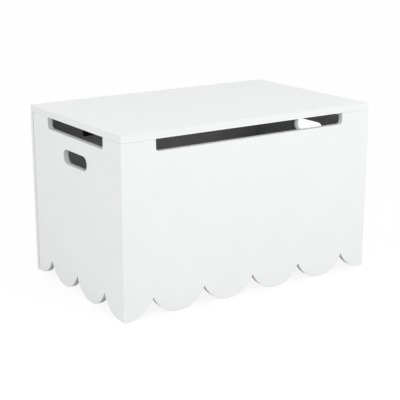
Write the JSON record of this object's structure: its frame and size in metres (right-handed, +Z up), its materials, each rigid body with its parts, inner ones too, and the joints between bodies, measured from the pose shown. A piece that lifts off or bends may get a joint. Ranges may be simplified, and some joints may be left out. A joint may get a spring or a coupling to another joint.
{
  "type": "toy box",
  "caption": "White painted wooden toy chest with a lift-up lid on friction hinges, finger slots under the lid, hand holes in the sides and a scalloped foot.",
  "frame": {"origin": "centre of the footprint, on the floor", "axes": "+X to the right along the front, +Y from the front to the hinged back, +Z up"},
  "size_m": [0.8, 0.508, 0.48],
  "materials": {
    "white_paint": "satin white paint on fibreboard",
    "bare_pine": "planed, unpainted",
    "black_coat": "black powder coat on steel",
    "pin_steel": "bright",
    "sleeve_plastic": "moulded",
    "black_screw": "black oxide",
    "zinc_screw": "zinc plated",
    "cam_zinc": "die cast, plated",
    "beech": "turned beech",
    "bumper_rubber": "soft translucent"
  },
  "bodies": {
    "carcass": {"front_panel": "white_paint", "left_side_panel": "white_paint", "right_side_panel": "white_paint", "back_panel": "white_paint", "base_panel": "white_paint", "left_corner_block": "white_paint", "right_corner_block": "white_paint", "front_cleat": "bare_pine", "back_cleat": "bare_pine", "left_cleat": "bare_pine", "right_cleat": "bare_pine", "left_hinge_body_leaf": "black_coat", "right_hinge_body_leaf": "black_coat", "left_hinge_pin": "pin_steel", "right_hinge_pin": "pin_steel", "hinge_body_screws": "black_screw", "cleat_screws": "zinc_screw", "base_screws": "zinc_screw", "corner_block_screws": "zinc_screw", "cam_bolts": "cam_zinc", "cam_discs": "cam_zinc", "dowels": "beech", "lid_bumpers": "bumper_rubber"},
    "lid": {"lid_panel": "white_paint", "left_hinge_lid_leaf": "black_coat", "right_hinge_lid_leaf": "black_coat", "left_hinge_friction_sleeve": "sleeve_plastic", "right_hinge_friction_sleeve": "sleeve_plastic", "hinge_lid_screws": "black_screw"}
  },
  "joints": [
    {"name": "lid_hinge", "type": "hinge", "parent": "carcass", "child": "lid", "pos_m": [0, 0.246, 0.4495], "axis": [-1, 0, 0], "range_deg": [0, 90]}
  ]
}
